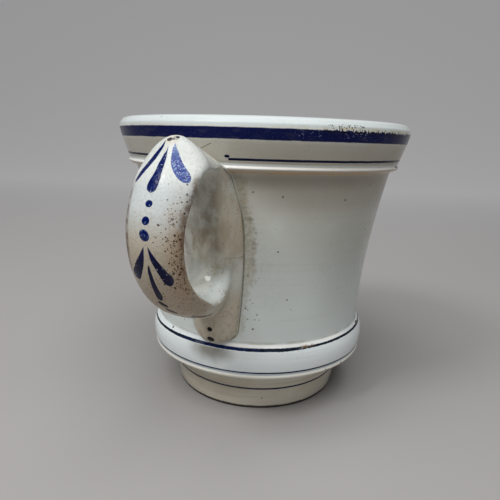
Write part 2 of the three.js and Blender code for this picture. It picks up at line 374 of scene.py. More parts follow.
class Glaze:
    """A finish in the making: where each point lies in millimetres, and the colour so far."""

    def __init__(self, name, colour, centre_height=0.0, centre_out=0.0):
        self.material = bpy.data.materials.new(name)
        self.material.use_nodes = True
        self.tree = self.material.node_tree
        self.place = wired_node(self.tree, "Mapping", {
            "Vector": wired_node(self.tree, "TexCoord", {}).outputs["Object"],
            "Scale": (1 / MM, 1 / MM, 1 / MM),
            "Location": (-AXIS_X / MM - centre_out, 0, -centre_height),
        }).outputs[0]
        apart = wired_node(self.tree, "SeparateXYZ", {0: self.place})
        self.x, self.y, self.z = (Field(socket) for socket in apart.outputs)
        first_coat = wired_node(self.tree, "RGB", {})
        first_coat.outputs[0].default_value = ink(*colour)
        self.colour = first_coat.outputs[0]

    def moved(self, stretch, shift):
        inputs = {"Vector": self.place, "Scale": stretch, "Location": (shift, shift * 1.7, -shift)}
        return wired_node(self.tree, "Mapping", inputs).outputs[0]

    def noise(self, size, detail=2.0, stretch=(1, 1, 1), shift=0.0):
        """Clouds of about the given size, mostly between 0.25 and 0.75."""
        inputs = {"Vector": self.moved(stretch, shift), "Scale": 1 / size, "Detail": detail}
        return Field(wired_node(self.tree, "TexNoise", inputs).outputs["Fac"])

    def drift(self, spread, *clouds, **more):
        """Clouds that swing either side of 0."""
        return (self.noise(*clouds, **more) - 0.5) * spread

    def patches(self, low, high, *clouds, **more):
        """Clouds cut to patches: 0 where they are below the low value, and 1 above the high one."""
        return self.noise(*clouds, **more).rising(low, high)

    def cells(self, size, shift, **settings):
        inputs = {"Vector": self.moved((1, 1, 1), shift), "Scale": 1 / size}
        return wired_node(self.tree, "TexVoronoi", inputs, **settings)

    def cracks(self, size, width, shift=0.0):
        """A net of fine lines between cells of the given size."""
        edge = Field(self.cells(size, shift, feature="DISTANCE_TO_EDGE").outputs["Distance"])
        return (edge * size).falling(0.3 * width, width)

    def specks(self, size, radius, share, shift=0.0):
        """Round specks, one in some of the cells of the given size."""
        cells = self.cells(size, shift)
        chance = wired_node(self.tree, "SeparateColor", {0: cells.outputs["Color"]})
        lot, spread = (Field(chance.outputs[i]) for i in (0, 1))
        own_radius = spread * (0.9 * radius) + 0.55 * radius
        speck = (Field(cells.outputs["Distance"]) * size / own_radius).falling(0.7, 1.25)
        return speck * (lot * -1 + share).rising(0.0, 0.02)

    def coat(self, colour, amount):
        """Lay a colour over the surface where, and as strongly as, the amount says."""
        factor, under, over = 0, 6, 7  # the mix node's inputs when it mixes colours
        inputs = {factor: amount.socket, under: self.colour, over: ink(*colour)}
        self.colour = wired_node(self.tree, "Mix", inputs, data_type="RGBA").outputs[2]

    def finish(self, piece, roughness, height, shine=0.5):
        """Wire the shader. The height is in millimetres."""
        shader = self.tree.nodes["Principled BSDF"]
        shader.inputs["IOR"].default_value = 1.45
        shader.inputs["Specular IOR Level"].default_value = shine
        bump = wired_node(self.tree, "Bump", {"Distance": MM, "Height": height.socket})
        self.tree.links.new(self.colour, shader.inputs["Base Color"])
        self.tree.links.new(roughness.socket, shader.inputs["Roughness"])
        self.tree.links.new(bump.outputs[0], shader.inputs["Normal"])
        piece.data.materials.clear()
        piece.data.materials.append(self.material)


COBALT = (4, 32, 98)
DEEP_COBALT = (0, 6, 64)
DARK_SPECK = (58, 44, 34)

# A level is a height above the table in millimetres, and a bearing is in degrees from the handle.
body = Glaze("glazed_body", (216, 217, 208))
distance = hypotenuse(body.x, body.y)
bearing = body.y.apply("ARCTAN2", body.x) * math.degrees(1)
beside = bearing.size()
level = body.z
up_barrel = ((level - BARREL_LOW) / BARREL_RUN).most(0.0).least(1.0).apply("POWER", BARREL_FLARE)
wall_middle = up_barrel * (TOP_RADIUS - BASE_RADIUS) + BASE_RADIUS - WALL / 2
outer = (distance - wall_middle).rising(-0.4, 0.4)
outer = outer * (level.rising(89, 90) * distance.falling(50.4, 50.8) * -1 + 1)
handle_half = beside.falling(110, 165)  # it fades at the back, so what changes round the cup meets there

# The glaze itself: clouds, a darker, warmer band round the top of the wall and the collar, and a white
# belt.
body.coat((196, 188, 172), body.patches(0.42, 0.68, 24, 3) * 0.4)
body.coat((228, 234, 232), body.patches(0.5, 0.75, 8, 2, shift=11) * 0.3)
# Painted light: the barrel is painted paler low down, where more light reaches it.
body.coat((220, 229, 228), level.falling(40, 84) * outer * 0.8)
body.coat((186, 180, 168), level.within(79, 98.5, 5) * 0.45)
# The belt's white is partly thick glaze and partly painted sheen.
body.coat((240, 247, 248), level.within(16.4, 30.0, 0.5) * distance.rising(40.9, 41.5) * 0.9)
# Painted light in these rows: shade in the groove low on the belt, a highlight on the lip below it, the
# bead's top painted pale as lit from above, and a highlight on its crown.
for colour, low, high, soft, strength in (
    ((186, 198, 200), 18.8, 19.5, 0.15, 0.6),    # the groove low on the belt
    ((246, 240, 224), 17.6, 18.65, 0.15, 0.8),   # the lip below that groove
    ((230, 238, 238), 89.7, 91.3, 0.25, 0.7),    # the bead
    ((255, 254, 248), 89.75, 90.55, 0.15, 1.0),  # and its crown
):
    body.coat(colour, level.within(low, high, soft) * outer * strength)
# Painted shade, partly glaze pooled under the bead: the wall is darker below the bead and round to the
# right, where the overhang and the turn of the wall keep the light off, and the collar is darker where it
# faces down.
pooling_and_shade = level.within(76, 97.6, 4) * bearing.rising(2, 30) * handle_half * outer
body.coat((150, 136, 118), pooling_and_shade * 0.25)
shaded = level.rising(38, 66) * level.falling(89.0, 89.8) * bearing.within(26, 78, 14)
body.coat((130, 120, 104), shaded * outer * 0.2)
body.coat((110, 104, 92), level.within(36, 78, 8) * bearing.within(52, 84, 12) * outer * 0.14)
body.coat((120, 106, 90), level.within(84, 88.6, 1.6) * bearing.within(8, 62, 14) * outer * 0.22)
body.coat((150, 138, 120), level.within(92.5, 97.8, 0.6) * outer * 0.22)
# Painted reflection: the lip's top is a cooler white.
body.coat((208, 218, 220), level.rising(101.5, 102.5) * 0.75)
wheel_marks = body.noise(1.6, 2, stretch=(0.03, 0.03, 1), shift=5)
body.coat((180, 172, 158), wheel_marks.rising(0.5, 0.75) * 0.16)

# Thin glaze on the sharp edges lets the clay's tan through, and dirt lies in the grooves.
under_bead = level.within(88.1, 89.5, 0.25) * distance.rising(48.8, 49.6)
body.coat((196, 166, 132), under_bead * (body.patches(0.3, 0.6, 7, 2) * 0.4 + 0.35) * outer)
bead_groove = level.within(91.3, 91.9, 0.2) * outer
body.coat((150, 144, 128), bead_groove * 0.3)
lip_margin = level.within(101.7, 102.5, 0.35) * outer * bearing.within(28, 130, 14)
body.coat((200, 190, 156), lip_margin * body.patches(0.35, 0.6, 3, 3) * 0.6)
# A painted highlight along the belt's upper ledge.
ledge_highlight = level.within(28.7, 29.7, 0.25) * bearing.within(6, 74, 8) * outer
body.coat((255, 255, 252), ledge_highlight * 0.95)
belt_root = level.within(29.7, 30.6, 0.35) * outer
body.coat((150, 140, 120), belt_root * body.patches(0.35, 0.65, 5, 3) * 0.35)
# A painted shadow: the handle's shadow on the belt below the tail.
tail_shadow = hypotenuse((bearing + 1) / 15, (level - 26.8) / 6.3) + body.drift(0.3, 4.0, 3, shift=6)
body.coat((128, 124, 112), tail_shadow.falling(0.15, 1.0) * level.falling(27.2, 27.8) * 0.85 * outer)
belt_foot = level.falling(16.6, 17.3) * distance.rising(33, 35)
body.coat((150, 132, 106), belt_foot * 0.5)

# Tea has crept along the handle's joint and dried in soft blotches, with darker fingers at their edge.
creep = body.drift(6, 4.2, 4, stretch=(1, 1, 1.5), shift=3)
creep = creep + body.drift(4.5, 1.7, 3, stretch=(0.6, 0.6, 1.4), shift=63)
reach = level.within(50, 86, 5) * 2.9 + level.falling(32, 46) * -1.6 - level.rising(64, 82) * 3.0
inside_tide = reach + 15.9 + creep - beside
stained = inside_tide.rising(-1.4, 1.2) * level.within(33, 88, 3) * outer
blotches = body.patches(0.32, 0.66, 1.2, 4) * 0.36 + 0.28
body.coat((158, 144, 112), stained * blotches * (level.rising(44, 66) * 0.4 + 0.6))
fingers = body.patches(0.5, 0.62, 2.8, 3, stretch=(0.5, 0.5, 1.7), shift=8)
tide_edge = inside_tide.within(-1.0, 1.8, 0.8) * level.within(58, 79, 3) * outer
body.coat((118, 106, 84), tide_edge * fingers * 0.38)
drips = beside.within(14.5, 21, 1.5) * level.within(34, 62, 4) * outer
drip_specks = body.specks(1.3, 0.28, drips * 0.5, shift=12)
body.coat((84, 76, 60), drip_specks * body.patches(0.3, 0.5, 0.7, 2) * 0.75)

# Crazing, and the pits and specks of iron that every batch of clay brings.
crazing = body.cracks(2.2, 0.07)
body.coat((140, 122, 96), crazing * body.patches(0.4, 0.65, 18, 2, shift=2) * 0.14)
body.coat((108, 100, 88), body.specks(3.4, 0.16, 0.36, shift=1) * 0.6)
pits = body.specks(11, 0.28, 0.30, shift=4)
body.coat(DARK_SPECK, pits * 0.85)
lip_dirt = bearing.within(41, 53, 3) + bearing.within(55, 80, 6) * level.falling(101.9, 102.4) * 0.7
lip_dirt = lip_dirt * level.within(101.9, 103.2, 0.4) * outer
body.coat(DARK_SPECK, body.specks(0.62, 0.2, 0.8, shift=6) * lip_dirt.rising(0.1, 0.5) * 0.95)
body.coat((130, 116, 90), body.patches(0.54, 0.66, 0.9, 3, shift=14) * lip_dirt.rising(0.2, 0.8) * 0.4)

# The cobalt lines, drawn with the cup turning: they waver a little and thin out in places.
wander = body.drift(0.34, 3.0, 3, shift=20)
painted = level + wander
frayed = body.drift(2.6, 0.45, 2, stretch=(1, 1, 0.4), shift=50) * bearing.rising(26, 56) * handle_half
rim_band = painted.rising(98.11, 98.39) * (painted + frayed).falling(101.4, 101.7)
collar_line = (level + wander * 0.5).within(92.15, 92.85, 0.1) * beside.rising(9.3, 9.6)
line_end = hypotenuse((beside - 9.05) * 0.62, (level - 93.3) * 1.25) + wander
collar_line = collar_line.most(line_end.falling(0.5, 0.68))
worn = bearing.within(41.5, 49, 1.5)
belt_slope = (bearing.falling(-45, 0) * 0.45 - bearing.rising(30, 75) * 0.25) * handle_half
belt_way = level + wander * 0.6 + belt_slope + body.drift(0.22, 0.9, 2, shift=61)
belt_width = (bearing.rising(32, 56) * 0.17 + bearing.falling(-40, -10) * 0.13) * handle_half * -1 + 0.5
belt_line = ((belt_way - 28.17).size() - belt_width).falling(-0.1, 0.1)
belt_line = belt_line * (worn * body.patches(0.4, 0.6, 1.2, 2) * -0.5 + 1)
belt_low_line = (level + wander * 0.4).within(19.62, 20.2, 0.1)
lines = rim_band.most(collar_line).most(belt_line).most(belt_low_line) * outer
thick_paint = body.patches(0.28, 0.5, 2.4, 3, stretch=(0.5, 0.5, 1.4), shift=31)
body.coat(COBALT, lines * (thick_paint * 0.14 + 0.86))
body.coat(DEEP_COBALT, rim_band * outer * 0.8)
body.coat((10, 12, 34), collar_line * outer * 0.85)
burnt = (painted + frayed).within(100.7, 101.5, 0.25) * bearing.rising(28, 50) * handle_half
burnt = burnt * body.patches(0.4, 0.56, 1.4, 3, shift=52)
body.coat((14, 12, 20), burnt * outer * 0.85)
dull = (bearing.falling(-28, -4) + bearing.rising(10, 34)).least(1.0) * 0.5 + 0.4
body.coat((30, 38, 42), belt_line.most(belt_low_line * 0.9) * dull * outer)
belt_dirt = body.patches(0.5, 0.62, 1.0, 3, stretch=(0.6, 0.6, 1), shift=18)
body.coat((16, 16, 20), belt_line * belt_dirt * outer * 0.6)
rubbed_through = worn * belt_way.within(28.2, 28.9, 0.2) * body.patches(0.45, 0.6, 1.0, 2)
body.coat((150, 112, 72), rubbed_through * 0.7)
scuffs = body.patches(0.58, 0.68, 0.7, 3, stretch=(1, 1, 1.6), shift=44)
scuffed = (bearing.within(30, 38, 2) + bearing.within(46, 56, 3)) * level.within(99.4, 101.5, 0.5)
body.coat((150, 158, 190), scuffs * (scuffed * 0.6 + 0.06) * rim_band * outer)
body.coat((176, 182, 200), body.specks(3.1, 0.16, 0.35, shift=9) * rim_band * outer * 0.7)

# A hairline crack beside the handle. Then chips, each by its bearing, level, radius and stretch along the
# wall: at the bead, the belt's ledge and its lower edge, and small ones on the barrel.
crack_way = (beside - 0.2) * 0.92 - (level - 95.2) * 2.1
hairline = (crack_way + wander).size().falling(0.12, 0.35) * level.within(95.2, 96.9, 0.2) * outer
body.coat(DARK_SPECK, hairline * bearing.rising(-0.5, 0.2) * 0.8)
for chip_bearing, chip_level, chip_radius, chip_stretch in (
    (86.4, 90.4, 0.5, 5.0), (91.2, 28.9, 0.45, 4.5), (91.4, 30.6, 0.4, 3.5), (57.2, 18.0, 0.45, 1),
    (-28.0, 29.2, 0.5, 1), (68.7, 18.2, 0.35, 1), (55.5, 80.2, 0.36, 1), (28.4, 63.3, 0.32, 1),
    (34.1, 46.2, 0.34, 1), (17.4, 82.7, 0.3, 1), (69.2, 84.7, 0.25, 1),
):
    degree = 0.8 if chip_level > 60 else 0.74  # its length along the wall, in millimetres
    along = (bearing - chip_bearing) * (degree / chip_stretch)
    off = hypotenuse(along, level - chip_level) + wander * 0.5
    body.coat(DARK_SPECK, off.falling(0.7 * chip_radius, chip_radius) * outer * 0.85)

relief = body.noise(2.6, 2, shift=15) * 0.03 + wheel_marks * 0.012 - crazing * 0.012
relief = relief + lines * 0.02 - pits * 0.06
gloss = body.noise(14, 3, shift=27) * 0.12 + 0.13 + stained * 0.12 + lines * 0.02
body.finish(cup, gloss, relief, shine=0.16)


# The foot ring. A separate ring of clay, turned and stuck under the floor with slip. It is dipped with the
# cup, but the glaze runs thin on it and is wiped off where the ring stands.
FOOT_RADIUS = 34.2
FOOT_INSIDE = 27.8

foot_profile = [
    (FOOT_INSIDE + 0.9, 0.0, 0), (32.5, 0.0, 0.5), (33.2, 3.4, 6.0), (34.05, 8.8, 8.0),
    (34.3, 12.5, 6.0), (FOOT_RADIUS, FOOT_TOP, 0), (FOOT_INSIDE - 0.3, FOOT_TOP, 0),
    (FOOT_INSIDE, 8.0, 4.0), (FOOT_INSIDE, 0.0, 0.8), (FOOT_INSIDE + 0.9, 0.0, 0),
]
foot_points = spaced(rounded(foot_profile), 1.0)[:-1]
foot = turned_piece("foot_ring_glazed", foot_points, segments=240, wobble=0.05, centre_caps=False)
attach(foot, "root")
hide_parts("foot_ring")

ring = Glaze("glazed_foot", (226, 219, 203))
ring.coat((200, 188, 164), ring.patches(0.4, 0.66, 16, 3) * 0.4)
ring.coat((150, 130, 100), ring.patches(0.5, 0.72, 1.4, 2, stretch=(0.04, 0.04, 1), shift=3) * 0.2)
ring.coat((140, 122, 98), ring.cracks(3.0, 0.07) * 0.08)
ring.coat(DARK_SPECK, ring.specks(5.0, 0.22, 0.4) * 0.7)
foot_line = (ring.z + ring.drift(0.2, 3, 2, shift=7)).within(8.5, 9.15, 0.1)
foot_line = foot_line * hypotenuse(ring.x, ring.y).rising(31, 32)
ring.coat(COBALT, foot_line * 0.92)
ring.coat((22, 28, 44), foot_line * 0.75)
# Bare clay where the ring stands, darkened towards black as a painted contact shadow.
bare_clay_and_contact_shadow = (ring.z + ring.drift(0.6, 2.2, 3, shift=2)).falling(0.85, 1.45)
ring.coat((44, 29, 18), bare_clay_and_contact_shadow * 0.95)
ring.coat((34, 22, 14), bare_clay_and_contact_shadow * ring.patches(0.5, 0.62, 0.8, 2, shift=12) * 0.7)
ring_relief = ring.noise(2.4, 2) * 0.03 + bare_clay_and_contact_shadow * ring.noise(0.4, 2) * 0.12
ring.finish(foot, ring.noise(10, 2) * 0.1 + 0.17 + bare_clay_and_contact_shadow * 0.5, ring_relief)


# The slip in the foot's joint: liquid clay, the potter's glue, brushed on as the ring is set in place. It
# is squeezed out into a small cove all round, and dries tan and grainy under the glaze.
cove = 0.9  # how wide and high it is
cove_profile = [
    (FOOT_RADIUS - 0.5, FOOT_TOP - cove, 0),
    (FOOT_RADIUS + 0.12, FOOT_TOP - 0.35 * cove, 0.4),
    (FOOT_RADIUS + cove, FOOT_TOP + 0.1, 0.2),
    (FOOT_RADIUS - 0.5, FOOT_TOP + 0.1, 0),
    (FOOT_RADIUS - 0.5, FOOT_TOP - cove, 0),
]
foot_slip = turned_piece("foot_slip_cove", rounded(cove_profile)[:-1], segments=240, centre_caps=False)
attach(foot_slip, "root")
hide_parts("foot_slip")


def slip_finish(name, piece):
    """Dried slip under a thin run of glaze: tan, grainy, darker where dirt has stuck."""
    slip = Glaze(name, (146, 144, 130))
    slip.coat((106, 102, 86), slip.patches(0.4, 0.68, 2.6, 3) * 0.6)
    slip.coat((180, 174, 156), slip.patches(0.52, 0.7, 0.9, 2, shift=4) * 0.4)
    # Painted highlight: the slip is pale high up on the handle, along the lit upper edge of the back plate.
    slip.coat((206, 206, 196), slip.z.rising(74, 82) * 0.85)
    slip.coat((176, 170, 152), slip.z.within(28, 36, 3) * 0.6)
    slip.finish(piece, slip.noise(3, 2) * 0.2 + 0.4, slip.noise(0.5, 2) * 0.08)


slip_finish("slip_of_foot", foot_slip)


# The handle. One piece of clay pressed in a two-part mould: a closed loop with a roof-shaped peak, on a
# leaf of a back plate that runs down into a tail. It is stuck to the leather-hard cup with slip and glazed
# with it. The near side is the one towards +Y.
HANDLE_DEPTH = 36.52
PEAK_LEVEL = 98.9
LOWER_ARM_LEVEL = 41.2
STRAP_HALF_WIDTH = 8.6
STRAP_CROWN = 4.6
STRAP_BACK = 4.2
PEAK_CROWN = 8.7
PLATE_THICKNESS = 4.4
PLATE_EDGE_THICKNESS = 2.1
PLATE_HALF_WIDTH = 11.0
PLATE_BURIED = 3.0
PLATE_TOP = 95.0
PLATE_BOTTOM = 29.4
TAIL_HALF_WIDTH = 8.5
TAIL_THICKNESS = 4.0
TAIL_END_ROUNDING = 5.2
FAR_WIDENING = 1.2   # how much wider the back plate is on its far side, at mid height
RIDGE_LEAN = 0.05    # how far the peak's ridge stands to the near side, as a share of the half width
FAR_FULLNESS = 0.6   # how much rounder the head's far flank is
HEAD_LEAN = 0.65     # how far the whole head was pushed to the near side as the clay set
FLAT_ARCH = 2.2      # how flat the strap's crown is: 1 is a roof, 2 an oval
CLAY_GRAIN = 0.36    # how fine the handle's mesh is


def fade(values, start, end):
    """0 before the start and 1 after the end, eased between."""
    t = np.clip((values - start) / (end - start), 0, 1)
    return t * t * (3 - 2 * t)


def loop_stations():
    """Rows round the finger hole: radius and height of the edge, half width, both crowns and the arch."""

    def station(out, up, half_width, outer_crown, inner_crown, arch=FLAT_ARCH):
        height = LOWER_ARM_LEVEL + (PEAK_LEVEL - LOWER_ARM_LEVEL) * up
        edge_radius = barrel_radius(height) + out * HANDLE_DEPTH
        return (edge_radius, height, half_width, outer_crown, inner_crown, arch)

    def on_plate(up, half_width):
        out = PLATE_EDGE_THICKNESS / HANDLE_DEPTH
        inner_crown = PLATE_THICKNESS - PLATE_EDGE_THICKNESS
        return station(out, up, half_width, PLATE_EDGE_THICKNESS + PLATE_BURIED, inner_crown)

    wide, crown, back, peak = STRAP_HALF_WIDTH, STRAP_CROWN, STRAP_BACK, PEAK_CROWN
    return np.array([
        station(0.287, 0.846, wide - 0.4, 0.76 * peak, 0.5 * back, 1.25),
        station(0.396, 0.853, wide - 0.1, 0.84 * peak, 0.5 * back, 1.25),
        station(0.486, 0.853, wide + 1.2, peak, 0.6 * back, 1.2),
        station(0.596, 0.827, wide + 1.3, 0.95 * crown, 0.8 * back, 1.2),
        station(0.686, 0.759, wide + 1.1, 1.02 * crown, 0.95 * back, 1.75),
        station(0.817, 0.631, wide + 0.4, crown, back),
        station(0.872, 0.517, wide, crown, back),
        station(0.855, 0.383, wide - 0.2, 1.02 * crown, 0.9 * back),
        station(0.74, 0.263, wide - 0.5, 1.15 * crown, 0.8 * back),
        station(0.549, 0.177, wide - 0.9, 1.15 * crown, 0.6 * back),
        station(0.339, 0.116, wide - 1.4, 1.05 * crown, 0.8 * back),
        station(0.189, 0.133, wide - 1.3, PLATE_BURIED + 0.17 * HANDLE_DEPTH, back),
        on_plate(0.274, wide - 0.3),
        on_plate(0.43, wide + 0.4),
        on_plate(0.603, wide + 0.6),
        on_plate(0.75, wide - 0.2),
        station(0.098, 0.849, wide - 1.4, PLATE_BURIED, back, 1.5),
    ])


def smooth_round(values, steps):
    """A closed curve through the rows of values, at even steps."""
    count = len(values)
    out = []
    for i in range(steps):
        spot = count * i / steps
        k, t = int(spot), spot - int(spot)
        p0, p1, p2, p3 = (values[(k + n) % count] for n in (-1, 0, 1, 2))
        gaps = [max(1e-6, np.linalg.norm(b - a)) ** 0.5 for a, b in ((p0, p1), (p1, p2), (p2, p3))]
        slope1 = (p1 - p0) / gaps[0] - (p2 - p0) / (gaps[0] + gaps[1]) + (p2 - p1) / gaps[1]
        slope2 = (p2 - p1) / gaps[1] - (p3 - p1) / (gaps[1] + gaps[2]) + (p3 - p2) / gaps[2]
        slope1, slope2 = slope1 * gaps[1], slope2 * gaps[1]
        a = 2 * p1 - 2 * p2 + slope1 + slope2
        b = -3 * p1 + 3 * p2 - 2 * slope1 - slope2
        out.append(((a * t + b) * t + slope1) * t + p1)
    return np.array(out)


def loop_solid(steps=288, section_steps=36):
    """Points and faces of the handle's closed loop, with the cup's axis at x = 0."""
    stations = loop_stations()
    edges = smooth_round(stations[:, :3], steps)
    crowns = smooth_round(stations[:, 3:], steps)
    rounding = 0.66
    across = 2 * section_steps
    along = np.roll(edges, -1, axis=0)[:, :2] - np.roll(edges, 1, axis=0)[:, :2]
    outward = np.stack([-along[:, 1], along[:, 0]], 1) / np.linalg.norm(along, axis=1)[:, None]
    share = np.cos(math.pi * np.arange(across) / section_steps)[None, :]
    outer_face = np.arange(across)[None, :] < section_steps
    crown = np.where(outer_face, crowns[:, :1], -crowns[:, 1:2])
    on_head = fade(edges[:, 1:2], 80.0, 89.0) * outer_face
    arch = np.where(outer_face, crowns[:, 2:3], FLAT_ARCH) + FAR_FULLNESS * on_head * (share < 0)
    lean = RIDGE_LEAN * on_head
    from_ridge = share - lean * (1 - share**2)
    rise = crown * (1 - np.abs(from_ridge) ** arch) ** rounding
    x = edges[:, :1] + rise * outward[:, :1]
    z = edges[:, 1:2] + rise * outward[:, 1:2]
    y = edges[:, 2:3] * share
    return np.stack([x, y, z], -1).reshape(-1, 3), ring_faces(steps, across)


def plate_half_width(height):
    """Half the width of the leaf and its tail, measured round the barrel."""
    shoulder, widest = BARREL_TOP + 1.7, 68.0
    shoulder_half_width = 0.69 * PLATE_HALF_WIDTH
    if height >= shoulder:
        return shoulder_half_width * (PLATE_TOP - height) / (PLATE_TOP - shoulder)
    if height >= widest:
        share = (height - widest) / (shoulder - widest)
        return PLATE_HALF_WIDTH - (PLATE_HALF_WIDTH - shoulder_half_width) * share**2.2
    share = min(1, (widest - height) / (widest - PLATE_BOTTOM - TAIL_END_ROUNDING))
    return (PLATE_HALF_WIDTH - (PLATE_HALF_WIDTH - TAIL_HALF_WIDTH) * share**1.5) * rounded_end(height)


def rounded_end(height):
    """1 up the plate, and down to 0 round the tail's end."""
    left = min(1, (height - PLATE_BOTTOM) / TAIL_END_ROUNDING)
    return math.sqrt(max(0, 1 - (1 - left) ** 2))


# The cup's outer line from the belt up, and that line without the bead's groove, where the plate lies.
outside_line = np.array(rounded(outside))
outside_line = outside_line[outside_line[:, 0] > 40]
wall_heights = np.linspace(31, 84, 30)
plate_base_line = [28, BARREL_BASE, *wall_heights, 92.2, 98.2]
plate_base_radii = [42.4, 41.2, *barrel_radius(wall_heights), 51.85, 54.1]


def plate_solid(rows=150, columns=44):
    """Points and faces of the back plate and tail: a cushioned strip with a low upright edge."""
    edge_rise = 1.1
    low, high = PLATE_BOTTOM + 0.02, PLATE_TOP - 0.02
    points = []
    for i in range(rows + 1):
        height = low + (high - low) * (0.5 - 0.5 * math.cos(math.pi * i / rows))
        half_width = plate_half_width(height)
        base = float(np.interp(height, plate_base_line, plate_base_radii))
        to_tail = np.clip((48 - height) / 10, 0, 1)
        thick = (PLATE_EDGE_THICKNESS + edge_rise) * (1 - to_tail) + TAIL_THICKNESS * to_tail
        thick *= rounded_end(height) ** 0.7 * min(1, (PLATE_TOP - height + 0.5) / 4)
        widening = FAR_WIDENING * float(fade(height, 44, 56) * (1 - fade(height, 70, 84)))
        shares = [-math.cos(math.pi * j / columns) for j in range(columns + 1)]
        outs = []
        for share in shares:
            side = (1 - abs(share) ** 10) ** 0.5
            cushion = (1 - abs(share) ** 2.4) ** 0.9 * max(0, thick - edge_rise)
            outs.append(side * min(edge_rise, thick) + cushion - 0.4 * (1 - side))
        for share, out in zip([*shares, 1, -1], [*outs, -PLATE_BURIED, -PLATE_BURIED]):
            angle = (half_width if share > 0 else half_width + widening) * share / base
            points.append(((base + out) * math.cos(angle), (base + out) * math.sin(angle), height))
    ring = columns + 3
    faces = ring_faces(rows + 1, ring, closed=False)
    faces.append(tuple(range(ring))[::-1])
    faces.append(tuple(rows * ring + j for j in range(ring)))
    return np.array(points), faces


def joined_clay(name, solids, grain, smoothing):
    """Closed forms melted into one skin, as clay is, with every seam between them softened."""
    points, faces = [], []
    for solid_points, solid_faces in solids:
        shift = len(points)
        points += [tuple(p) for p in solid_points * MM + np.array([AXIS_X, 0, 0])]
        faces += [tuple(shift + i for i in face) for face in solid_faces]
    raw = mesh_object(name + "_raw", points, faces)
    remesh = raw.modifiers.new("melt", "REMESH")
    remesh.mode = "VOXEL"
    remesh.voxel_size = grain * MM
    smooth = raw.modifiers.new("soften", "SMOOTH")
    smooth.factor = 0.5
    smooth.iterations = smoothing
    shown = raw.evaluated_get(bpy.context.evaluated_depsgraph_get())
    mesh = bpy.data.meshes.new_from_object(shown)
    bpy.data.objects.remove(raw)
    mesh.name = name
    return shown_mesh(name, mesh)


def softened(piece, points, share, passes):
    """The piece's points, each moved towards its neighbours' middle again and again by its share."""
    ends = np.empty(2 * len(piece.data.edges), dtype=int)
    piece.data.edges.foreach_get("vertices", ends)
    ends = ends.reshape(-1, 2)
    start, end = np.concatenate([ends, ends[:, ::-1]]).T
    neighbours = np.bincount(start, minlength=len(points))[:, None]
    for _ in range(passes):
        total = np.stack([np.bincount(start, points[end, k], len(points)) for k in range(3)], 1)
        points = points + share[:, None] * (total / neighbours - points)
    return points


handle = joined_clay("handle_glazed", [loop_solid(), plate_solid()], CLAY_GRAIN, smoothing=6)
points = np.empty(len(handle.data.vertices) * 3)
handle.data.vertices.foreach_get("co", points)
points = points.reshape(-1, 3) / MM
points[:, 0] -= AXIS_X / MM
radius = np.hypot(points[:, 0], points[:, 1])
off_wall = radius - barrel_radius(points[:, 2])
round_wall = np.abs(np.arctan2(points[:, 1], points[:, 0])) * radius

# The potter's finger has softened the corners beside the leg of the loop and the flanks of the head.
beside_leg = fade(round_wall, 4.0, 6.0) * (1 - fade(round_wall, 9.4, 10.4))
beside_leg *= (1 - fade(off_wall, 6.0, 9.0)) * fade(points[:, 2], 30.0, 36.0)
beside_leg *= 1 - fade(points[:, 2], 84.0, 90.0)
points = softened(handle, points, 0.6 * beside_leg, passes=70)
head = fade(points[:, 0], 60.0, 64.0) * fade(points[:, 2], 76.0, 84.0)
points = softened(handle, points, 0.5 * head, passes=30)

# The handle's back goes no deeper than this into the cup's wall, so nothing of it shows inside.
deepest = 0.8
radius = np.hypot(points[:, 0], points[:, 1])
inner_limit = np.interp(points[:, 2], outside_line[:, 1], outside_line[:, 0]) - deepest
points[:, :2] *= np.maximum(1, inner_limit / radius)[:, None]
points[:, 1] += HEAD_LEAN * fade(points[:, 2], 76.0, 90.0) * fade(off_wall, 6.0, 16.0)
points[:, 0] += AXIS_X / MM
handle.data.vertices.foreach_set("co", (points * MM).ravel())
handle.data.update()
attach(handle, "root")
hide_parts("handle")

LOOP_CENTRE_OUT = 60.96    # the middle of the finger hole, from the cup's axis
LOOP_CENTRE_HEIGHT = 71.0
strap = Glaze("glazed_handle", (210, 212, 204), LOOP_CENTRE_HEIGHT, LOOP_CENTRE_OUT)
round_loop = strap.z.apply("ARCTAN2", strap.x) * math.degrees(1)  # degrees: 0 at the front, 90 at the top
from_centre = hypotenuse(strap.x, strap.z)
front = strap.x.rising(-6, 4)
outer_side = from_centre.rising(17.5, 20.5) * front
brush_edge = strap.drift(0.16, 1.0, 2, shift=17)


def row_curve(rows, column, low, high):
    """The row values against the degrees round the loop, as a smooth curve of nodes."""
    first, last = rows[0][0], rows[-1][0]
    node = strap.tree.nodes.new("ShaderNodeFloatCurve")
    curve = node.mapping.curves[0]
    spots = [((row[0] - first) / (last - first), (row[column] - low) / (high - low)) for row in rows]
    curve.points[0].location = spots[0]
    curve.points[1].location = spots[-1]
    for spot in spots[1:-1]:
        curve.points.new(*spot)
    node.mapping.update()
    share = (round_loop - first) * (1 / (last - first))
    strap.tree.links.new(share.least(1.0).most(0.0).socket, node.inputs["Value"])
    return Field(node.outputs[0]) * (high - low) + low


def stroke(*rows):
    """A brush stroke down the strap, from rows of (degrees round the loop, left edge, right edge)."""
    top, bottom = rows[0][0], rows[-1][0]
    left = row_curve(rows, 1, -10, 10)
    right = row_curve(rows, 2, -10, 10)
    inside = (strap.y - left).least(right - strap.y) + brush_edge
    return inside.rising(-0.09, 0.11) * round_loop.within(bottom, top, 0.15)


def dot(place, side, degrees, across, slant=0.0):
    """An oval spot. Its slant is in degrees round the loop for each millimetre across."""
    aside = strap.y - side
    off = hypotenuse((round_loop - place + aside * slant) / degrees, aside / across)
    return (off + brush_edge * 0.5).falling(0.93, 1.07)


